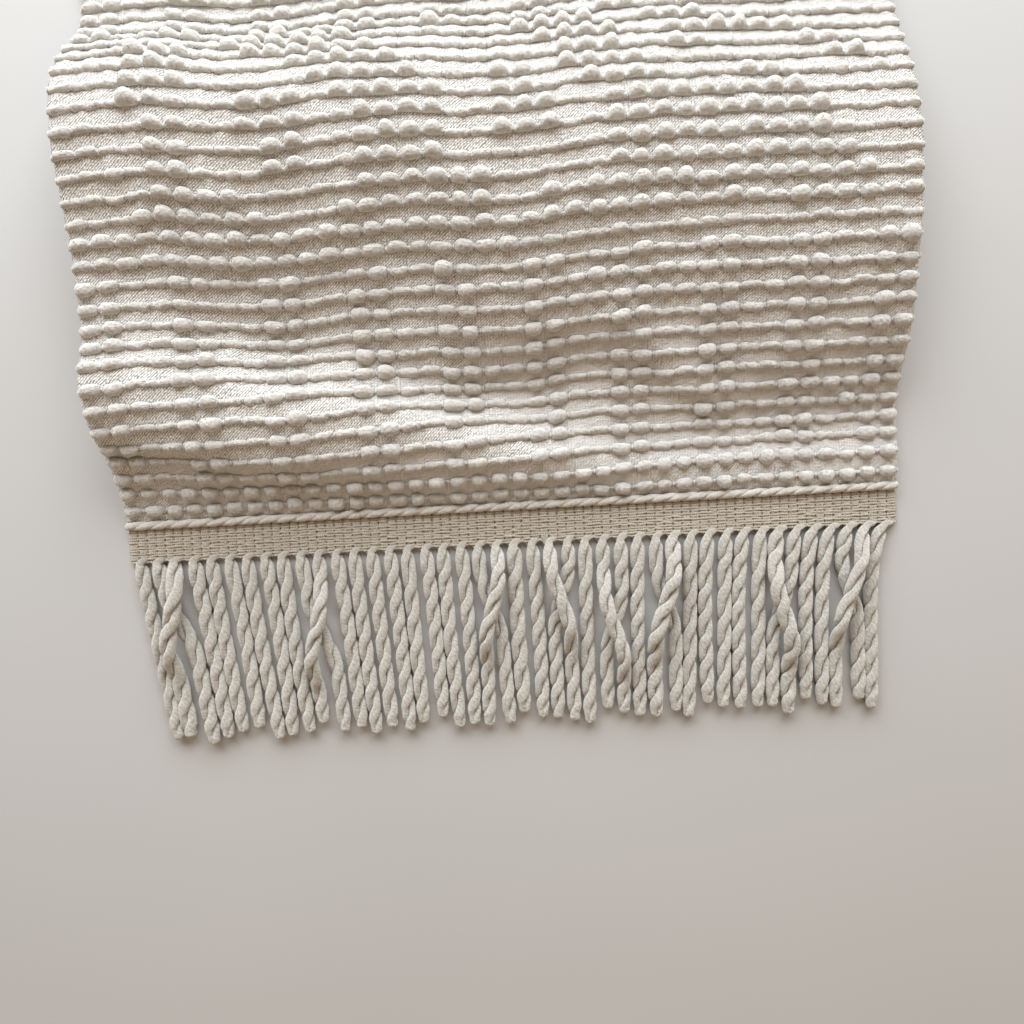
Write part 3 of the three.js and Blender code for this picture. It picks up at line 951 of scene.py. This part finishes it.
def bullion_yarn(name, groove, ridge, tape_shade):
    """Cabled yarn with painted shade in its grooves; tape_shade is how far its light end is darkened towards
    painted shade where it is woven into the heading.
    """
    material, shader = cotton(name, roughness=0.95, sheen=0.3)
    _, along, around = yarn_measures(material)
    place = own_place(material)
    blotches = sharpened(material, mottle(material, place, BLOTCH_SCALE, detail=3.0), BLOTCH_GAIN)
    lay = maths(material, "MULTIPLY_ADD", along, 1 / YARN_LAY, around)
    ridges = wave(material, maths(material, "MULTIPLY_ADD", lay, YARNS_ROUND, blotches))
    blotched = maths(material, "MULTIPLY", blotches, 1 - RIDGE_SHARE)
    colour = tinted(
        material, shader, maths(material, "MULTIPLY_ADD", ridges, RIDGE_SHARE, blotched), groove, ridge
    )
    down_strand = node(material, "ShaderNodeSeparateXYZ", {0: place}).outputs["Y"]
    tape_foot = FRINGE_TOP - HEADING
    in_tape = node(material, "ShaderNodeMapRange", {"Value": down_strand}, interpolation_type="SMOOTHSTEP")
    in_tape.inputs["From Min"].default_value = (tape_foot - TAPE_FADE) * MM
    in_tape.inputs["From Max"].default_value = (tape_foot + TAPE_FADE) * MM
    in_tape.inputs["To Max"].default_value = tape_shade
    light = blend(material, in_tape.outputs[0], ridge, TAPE_SHADE_COLOUR)
    material.node_tree.links.new(light.outputs["Result"], colour.inputs["B"])
    relief = maths(material, "MULTIPLY_ADD", blotches, BLOTCH_RELIEF, ridges)
    raised_grain(material, shader, relief, RIDGE_RELIEF)
    return material


yarn = bullion_yarn("bullion_yarn", YARN_GROOVE_SHADE, YARN_LIGHT, TAPE_SHADE)
print(YARNS_ROUND, "fine yarns round each half")

# %% Sizes of the two halves
PLY_OFFSET, PLY_RADIAL, PLY_BROAD = 1.2, 1.2, 1.65
COLUMN_OFFSET, COLUMN_WIDE, COLUMN_HIGH = 1.5, 1.3, 0.9
COLUMN_SQUARE = 0.5
COLUMN_MIDDLE = 1.1
CORD_DEPTH = 1.0
GATHER = (-1.2, 0.8)
ROOT_SETTLE = 3.0
NECK, NECK_LENGTH = 0.78, 4.5
TIP_BULGE = 0.8
PLY_STEP, COLUMN_STEP = 0.9, 0.4
FINE_BELOW = 2.0
THICK_STRANDS = {1: 1.08, 2: 1.14, 3: 1.06, 21: 1.1, 30: 1.12, 36: 1.1}


def half_places(s):
    """Distances along one half, from under the cord down to where its tip begins."""
    tip = strand_length(s) + ROOT_DEPTH - (TIP_BULGE + PLY_RADIAL) * THICK_STRANDS.get(s, 1.0)
    fine_end = ROOT_DEPTH + FINE_BELOW
    above = np.arange(CORD_DEPTH - HEADING + ROOT_DEPTH, fine_end, COLUMN_STEP)
    below = np.linspace(fine_end, tip, round((tip - fine_end) / PLY_STEP))
    return np.concatenate([above, below])


def gathered(along):
    """From 0 where a half is woven into the heading to 1 where it is wound with the other."""
    return smooth_step(along, ROOT_DEPTH + GATHER[0], ROOT_DEPTH + GATHER[1])


def ply_scale(s, along):
    """How thick the halves are, with a neck under the heading."""
    past_neck = smooth_step(along, ROOT_DEPTH, ROOT_DEPTH + NECK_LENGTH)
    return THICK_STRANDS.get(s, 1.0) * (NECK + (1 - NECK) * past_neck)


def middle_line(s, along):
    """The line between the two halves, low in the heading and resting on the floor below it."""
    line = strand_line(s, np.clip(along / (strand_length(s) + ROOT_DEPTH), 0, 1))
    line[:, 0] = root_x(s) + (line[:, 0] - root_x(s)) * smooth_step(along, 0, ROOT_DEPTH + ROOT_SETTLE)
    line[:, 1] = FRINGE_TOP - (along + HEADING - ROOT_DEPTH)
    resting = (PLY_OFFSET + PLY_RADIAL) * ply_scale(s, along)
    line[:, 2] += (resting - STRAND_RADIUS) + (COLUMN_MIDDLE - resting) * (1 - gathered(along))
    return line


print(len(half_places(0)), "places along half of the first strand")

# %% How the halves wind
TWIST_LENGTH, TWIST_SPREAD, TWIST_UNEVEN = 18.2, 2.0, 3.1
TWIST_EASE = 3.0
PHASE_SPREAD, PHASE_UNEVEN, PHASE_START = 0.9, 1.9, 1
PHASE_RUN = (2, 14)
DWELL = 0.26


def winding(s, along):
    """The angle at which one half lies from the middle line, from the left in the heading."""
    rate = 2 * math.pi / (TWIST_LENGTH + TWIST_SPREAD * math.sin(TWIST_UNEVEN * s))
    run = np.maximum(along - ROOT_DEPTH, 0)
    turned_by = np.where(run < TWIST_EASE, run**2 / (2 * TWIST_EASE), run - TWIST_EASE / 2)
    angle = math.pi + rate * turned_by + 0.5 * math.pi * gathered(along)
    angle += PHASE_SPREAD * math.sin(PHASE_UNEVEN * s + PHASE_START) * smooth_step(run, *PHASE_RUN)
    return angle - DWELL * np.sin(2 * angle)


turns = np.ptp(winding(0, half_places(0))) / (2 * math.pi)
print(f"the first strand has {turns:.1f} turns")

# %% How thick the halves are
WEFT_LINES, WEFT_PITCH, FIRST_WEFT = 6, 1.87, 2.4
WEFT_SQUEEZE = 0.35
SQUEEZE_WIDE, SQUEEZE_HIGH = 0.12, 0.3
TIP_CLOSE, CLOSE_LENGTH = 0.5, 4


def weft_squeeze(depth):
    """How far a column is drawn in at each weft line, from 0 to 1, by the depth below the fringe's top."""
    share = (depth - FIRST_WEFT) / WEFT_PITCH
    nearest = np.clip(np.round(share), 0, WEFT_LINES - 1)
    return np.exp(-(((share - nearest) / WEFT_SQUEEZE) ** 2))


def half_sizes(s, along):
    """How far a half is from the middle line, its half sizes out and across, and how round it is."""
    wound, ply, tip = gathered(along), ply_scale(s, along), along[-1]
    squeeze = weft_squeeze(along + HEADING - ROOT_DEPTH) * (1 - wound)
    offset = COLUMN_OFFSET + (PLY_OFFSET * ply - COLUMN_OFFSET) * wound
    offset *= 1 - TIP_CLOSE * smooth_step(along, tip - CLOSE_LENGTH, tip)
    radial = (COLUMN_WIDE + (PLY_RADIAL * ply - COLUMN_WIDE) * wound) * (1 - SQUEEZE_WIDE * squeeze)
    breadth = (COLUMN_HIGH + (PLY_BROAD * ply - COLUMN_HIGH) * wound) * (1 - SQUEEZE_HIGH * squeeze)
    return offset, radial, breadth, 1 - COLUMN_SQUARE * (1 - wound)


print(f"halves up to {2 * half_sizes(0, half_places(0))[2].max():.1f} mm broad")

# %% One strand, from the heading to the tip and back
LEVEL_LENGTH = 3
TIP_STEPS = 8
TIP_THIN = 0.08
PLY_SIDES = 14
PLY_LUMP, PLY_LUMP_STEP = 0.09, 1.7
PLY_LUMP_ROUND, PLY_LUMP_APART = 1.3, 90


def there_and_back(values, tip):
    """Values down one half, round the tip, and up the other half."""
    return np.concatenate([values, tip, values[::-1]])


def squared_off(share, power):
    """A share from -1 to 1 of a round section, made squarer by a power below one."""
    return np.sign(share) * np.abs(share) ** power


def strand_course(s):
    """For each ring of a strand: its middle, two directions, half sizes along them, and how round it is."""
    along = half_places(s)
    line, angle = middle_line(s, along), winding(s, along)
    offset, radial, breadth, roundness = half_sizes(s, along)
    travel = unit(np.gradient(line, axis=0))
    side = square_to(travel, SIDEWAYS)
    up = np.cross(travel, side)
    outward = np.cos(angle)[:, None] * side + np.sin(angle)[:, None] * up
    broad = -np.sin(angle)[:, None] * side + np.cos(angle)[:, None] * up
    pitch = np.arctan(offset * np.gradient(angle, along))
    pitch *= 1 - smooth_step(along, along[-1] - LEVEL_LENGTH, along[-1])

    turn = (np.arange(1, TIP_STEPS) / TIP_STEPS * math.pi)[:, None]
    bend_out = np.cos(turn) * outward[-1] + np.sin(turn) * travel[-1]
    bend_middle = line[-1] + offset[-1] * np.cos(turn) * outward[-1] + TIP_BULGE * np.sin(turn) * travel[-1]
    out_by = offset[:, None] * outward
    level, climb = broad * np.cos(pitch)[:, None], travel * np.sin(pitch)[:, None]
    tip_broad = np.repeat(broad[-1:], TIP_STEPS - 1, axis=0)
    middles = np.concatenate([line + out_by, bend_middle, (line - out_by)[::-1]])
    firsts = np.concatenate([outward, bend_out, -outward[::-1]])
    seconds = np.concatenate([level - climb, tip_broad, (level + climb)[::-1]])

    half_first = there_and_back(radial, np.full(TIP_STEPS - 1, radial[-1]))
    half_second = there_and_back(breadth, breadth[-1] * (1 - TIP_THIN * np.sin(turn[:, 0])))
    power = there_and_back(roundness, np.ones(TIP_STEPS - 1))
    return middles, firsts, seconds, half_first, half_second, power


def strand(s):
    """A whole strand as one tube: one half down, the bend at the tip, and the other half up."""
    middles, firsts, seconds, half_first, half_second, power = strand_course(s)
    turn = 2 * np.pi * np.arange(PLY_SIDES) / PLY_SIDES
    length = distance_along(middles)
    around = turn * PLY_LUMP_ROUND
    lumps = lumpy(PLY_LUMP, length[:, None] + PLY_LUMP_APART * s, around, PLY_LUMP_STEP, seed=41)
    first_by = half_first[:, None] * lumps * squared_off(np.cos(turn), power[:, None])
    second_by = half_second[:, None] * lumps * squared_off(np.sin(turn), power[:, None])
    rings = middles[:, None] + first_by[..., None] * firsts[:, None] + second_by[..., None] * seconds[:, None]
    rings[..., 2] = np.maximum(rings[..., 2], FLOOR_CLEAR)
    rings[..., 0] = np.clip(rings[..., 0], -WIDTH / 2, WIDTH / 2)
    return tube(rings, length)


for side_name, numbers in zip(("left", "right"), np.array_split(np.arange(STRANDS), 2)):
    shape = joined([strand(s) for s in numbers])
    piece(f"bullion_strands_{side_name}", shape, yarn)
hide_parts("bullion_fringe")
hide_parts("bullion_fringe")

# %% [markdown]
# ## The heading
#
# Above the strands, their yarns lie side by side as a narrow woven tape, crossed by bands of fine weft
# and finished with a small two-ply cord along the top. Each is its own thread here, so the little dark
# holes at the crossings come by themselves. A thin backing keeps the light from showing through.

# %% Weft bands
WEFT_GAP, WEFT_SPREAD = 0.3, 0.17
WEFT_RADIUS, WEFT_SIDES = 0.46, 5
WEFT_SINK = 0.7
WEFT_STEP = 0.75
WOBBLE, WOBBLE_STEP = 0.2, 2.2
WOBBLE_LINE_APART, WOBBLE_THREAD_APART = 9.0, 3.1
HUMP_FULLNESS = 0.6
COLUMN_CREST = 0.7
COLUMN_PITCH = STRAND_PITCH / 2
COLUMN_TOP = COLUMN_MIDDLE + COLUMN_HIGH * COLUMN_CREST
LENGTHWAYS = np.array([0.0, 1.0, 0.0])
# The heading thread colours are darkened as painted shade, for the shade the heading lies in; the backing
# takes them too.
TAPE_THREAD_SHADE = (0.4, 0.35, 0.28)
TAPE_THREAD_LIGHT = (0.54, 0.483, 0.4)

weft_x = np.arange(-WIDTH / 2, WIDTH / 2 + WEFT_STEP / 2, WEFT_STEP)
hump = np.abs(np.sin(np.pi * (weft_x + WIDTH / 2) / COLUMN_PITCH)) ** HUMP_FULLNESS
wefts = []
for line_number in range(WEFT_LINES):
    for which in (-1, 1):
        lane = np.full_like(weft_x, WOBBLE_LINE_APART * line_number + WOBBLE_THREAD_APART * which)
        wobble = WOBBLE * drift(weft_x + DRIFT_START, lane, WOBBLE_STEP, seed=51)
        parted = which * (WEFT_GAP + WEFT_SPREAD * hump)
        y = FRINGE_TOP - FIRST_WEFT - WEFT_PITCH * line_number + parted + wobble
        z = COLUMN_TOP - WEFT_SINK * (1 - hump) + wobble
        wefts.append(thread(np.stack([weft_x, y, z], axis=-1), WEFT_RADIUS, WEFT_SIDES, LENGTHWAYS))
tape_thread = fine_thread("heading_thread", TAPE_THREAD_SHADE, TAPE_THREAD_LIGHT)
heading_weft = piece("heading_weft", joined(wefts), tape_thread)

# %% Cord
CORD_TWIST = 11.9
CORD_OFFSET, CORD_RADIAL, CORD_BROAD = 0.5, 0.95, 1.15
CORD_PAST_TAPE = 0.1
CORD_Y, CORD_Z = FRINGE_TOP + CORD_PAST_TAPE, 2.4
CORD_STEP = 0.6
CORD_SIDES = 12
CORD_LUMP, CORD_LUMP_STEP = 0.12, 1.4
CORD_LUMP_ROUND, CORD_LUMP_APART = 1.2, 20
# Both cord colours are lighter than the strand yarn: painted light for the light on the cord's top. The dark
# end is painted shade in its grooves.
CORD_GROOVE_SHADE = (0.5, 0.465, 0.41)
CORD_LIGHT = (0.68, 0.645, 0.59)


def cord_ply(start):
    """One of the two yarns of the cord, wound the other way from the strands."""
    x = np.arange(-WIDTH / 2, WIDTH / 2 + CORD_STEP / 2, CORD_STEP).clip(-WIDTH / 2, WIDTH / 2)
    angle = start - 2 * math.pi * x / CORD_TWIST
    zero = np.zeros_like(x)
    outward = np.stack([zero, np.cos(angle), np.sin(angle)], axis=-1)
    broad = np.stack([zero, -np.sin(angle), np.cos(angle)], axis=-1)
    middle = np.stack([x, zero + CORD_Y, zero + CORD_Z], axis=-1) + CORD_OFFSET * outward
    ring = circle(CORD_SIDES, CORD_RADIAL * outward, CORD_BROAD * broad)
    around = 2 * np.pi * np.arange(CORD_SIDES) / CORD_SIDES * CORD_LUMP_ROUND + CORD_LUMP_APART * start
    lumps = lumpy(CORD_LUMP, x[:, None] + DRIFT_START, around, CORD_LUMP_STEP, seed=55)
    return tube(middle[:, None] + lumps[..., None] * ring, x + WIDTH / 2)


cord_yarn = bullion_yarn("cord_yarn", CORD_GROOVE_SHADE, CORD_LIGHT, tape_shade=0.0)
cord = piece("heading_cord", joined([cord_ply(0.0), cord_ply(math.pi)]), cord_yarn)

# %% Backing
STRIP_TOP, STRIP_UNEVEN, STRIP_STEP = 0.74, 0.12, 2.5
STRIP_BELOW, STRIP_ABOVE = 0.4, 1.0
STRIP_ROWS, STRIP_COLUMNS = 12, 130

strip_y, strip_x = np.meshgrid(
    np.linspace(FRINGE_TOP - HEADING + STRIP_BELOW, FRINGE_TOP - STRIP_ABOVE, STRIP_ROWS),
    np.linspace(-WIDTH / 2, WIDTH / 2, STRIP_COLUMNS),
    indexing="ij",
)
strip_drift = drift(strip_x + DRIFT_START, strip_y + DRIFT_START, STRIP_STEP, seed=61)
strip = closed_sheet(
    np.stack([strip_x, strip_y, STRIP_TOP + STRIP_UNEVEN * strip_drift], axis=-1),
    np.stack([strip_x, strip_y, np.full_like(strip_x, FLOOR_CLEAR)], axis=-1),
    np.stack([strip_x, strip_y], axis=-1).reshape(-1, 2),
)
backing = piece("heading_backing", strip, tape_thread)

# %% [markdown]
# ## The cut size
#
# The ground was cut as a flat rectangle before it was laid in folds. The wicks, threads and fringe are
# sewn to the same cloth.

# %% The cut length
print(f"cut {WIDTH:.0f} by {CLOTH_LENGTH:.0f} mm")

# %% [markdown]
# ## Floor, light and camera
#
# A plain pale floor takes the shadows. The light on the real cloth comes low from behind it, so one large
# soft panel stands there, and the side of each fold that is turned to the hem goes into soft shade. A
# weak warm fill keeps that shade open. The camera looks down on the hem, turned a little, as the cloth
# was seen.

# %% Floor
FLOOR_HALF = 2.0
FLOOR_BLOTCH = 6.0
FLOOR_SHADE = (0.43, 0.42, 0.405)
FLOOR_LIGHT = (0.47, 0.46, 0.445)


def plain_floor():
    """A matt, pale, slightly uneven floor."""
    material = bpy.data.materials.new("pale_floor")
    material.use_nodes = True
    shader = material.node_tree.nodes["Principled BSDF"]
    shader.inputs["Roughness"].default_value = 0.9
    shader.inputs["Specular IOR Level"].default_value = 0.1
    tinted(material, shader, mottle(material, own_place(material), FLOOR_BLOTCH), FLOOR_SHADE, FLOOR_LIGHT)
    return material


floor_mesh = bpy.data.meshes.new("floor")
floor_corners = [(-1, -1), (1, -1), (1, 1), (-1, 1)]
floor_mesh.from_pydata([(x * FLOOR_HALF, y * FLOOR_HALF, 0) for x, y in floor_corners], [], [(0, 1, 2, 3)])
floor_mesh.materials.append(plain_floor())
floor = bpy.data.objects.new("floor", floor_mesh)
bpy.context.scene.collection.objects.link(floor)
print("floor", 2 * FLOOR_HALF, "m wide")

# %% Light
WINDOW_PLACE, WINDOW_SIZE, WINDOW_POWER = (-0.05, 0.62, 0.4), (1.1, 0.62), 19.0
WINDOW_COLOUR = (0.87, 0.935, 1.0)
FILL_PLACE, FILL_SIZE, FILL_POWER = (0.2, -0.7, 0.9), (0.8, 0.8), 2.0
ROOM_COLOUR, ROOM_STRENGTH = (1.0, 0.775, 0.57), 0.34


def soft_panel(name, place, size, power, colour):
    """A soft rectangular light that looks at the middle of the cloth."""
    data = bpy.data.lights.new(name, "AREA")
    data.shape = "RECTANGLE"
    data.size, data.size_y = size
    data.energy = power
    data.color = colour
    panel = bpy.data.objects.new(name, data)
    panel.location = place
    panel.rotation_euler = (-Vector(place)).to_track_quat("-Z", "Y").to_euler()
    bpy.context.scene.collection.objects.link(panel)


soft_panel("window_panel", WINDOW_PLACE, WINDOW_SIZE, WINDOW_POWER, WINDOW_COLOUR)
soft_panel("front_fill", FILL_PLACE, FILL_SIZE, FILL_POWER, ROOM_COLOUR)
world = bpy.data.worlds.new("room")
world.use_nodes = True
world.node_tree.nodes["Background"].inputs["Color"].default_value = (*ROOM_COLOUR, 1)
world.node_tree.nodes["Background"].inputs["Strength"].default_value = ROOM_STRENGTH
bpy.context.scene.world = world
bpy.context.scene.view_settings.view_transform = "Standard"
print("one window panel, one fill")

# %% Camera
AIM_BELOW, AIM_HIGH = 1.9, 3.0
DISTANCE = 0.257
TILT, ROLL = math.radians(4.0), math.radians(-3.1)
LENS, SENSOR = 27.04, 36.0

aim = np.array([0.0, FRINGE_TOP - AIM_BELOW, AIM_HIGH]) * MM
forward = np.array([0, -math.sin(TILT), -math.cos(TILT)])
up_level = np.array([0, math.cos(TILT), -math.sin(TILT)])
right = math.cos(ROLL) * SIDEWAYS + math.sin(ROLL) * up_level
up = -math.sin(ROLL) * SIDEWAYS + math.cos(ROLL) * up_level
lens = bpy.data.cameras.new("camera")
lens.lens = LENS
lens.sensor_width = SENSOR
lens.clip_start = 0.01
camera = bpy.data.objects.new("camera", lens)
eye = aim - DISTANCE * forward
turned = Matrix([[*row] for row in np.stack([right, up, -forward], axis=-1)]).to_4x4()
camera.matrix_world = Matrix.Translation(eye.tolist()) @ turned
bpy.context.scene.collection.objects.link(camera)
bpy.context.scene.camera = camera
print("camera", [round(float(value), 3) for value in eye])
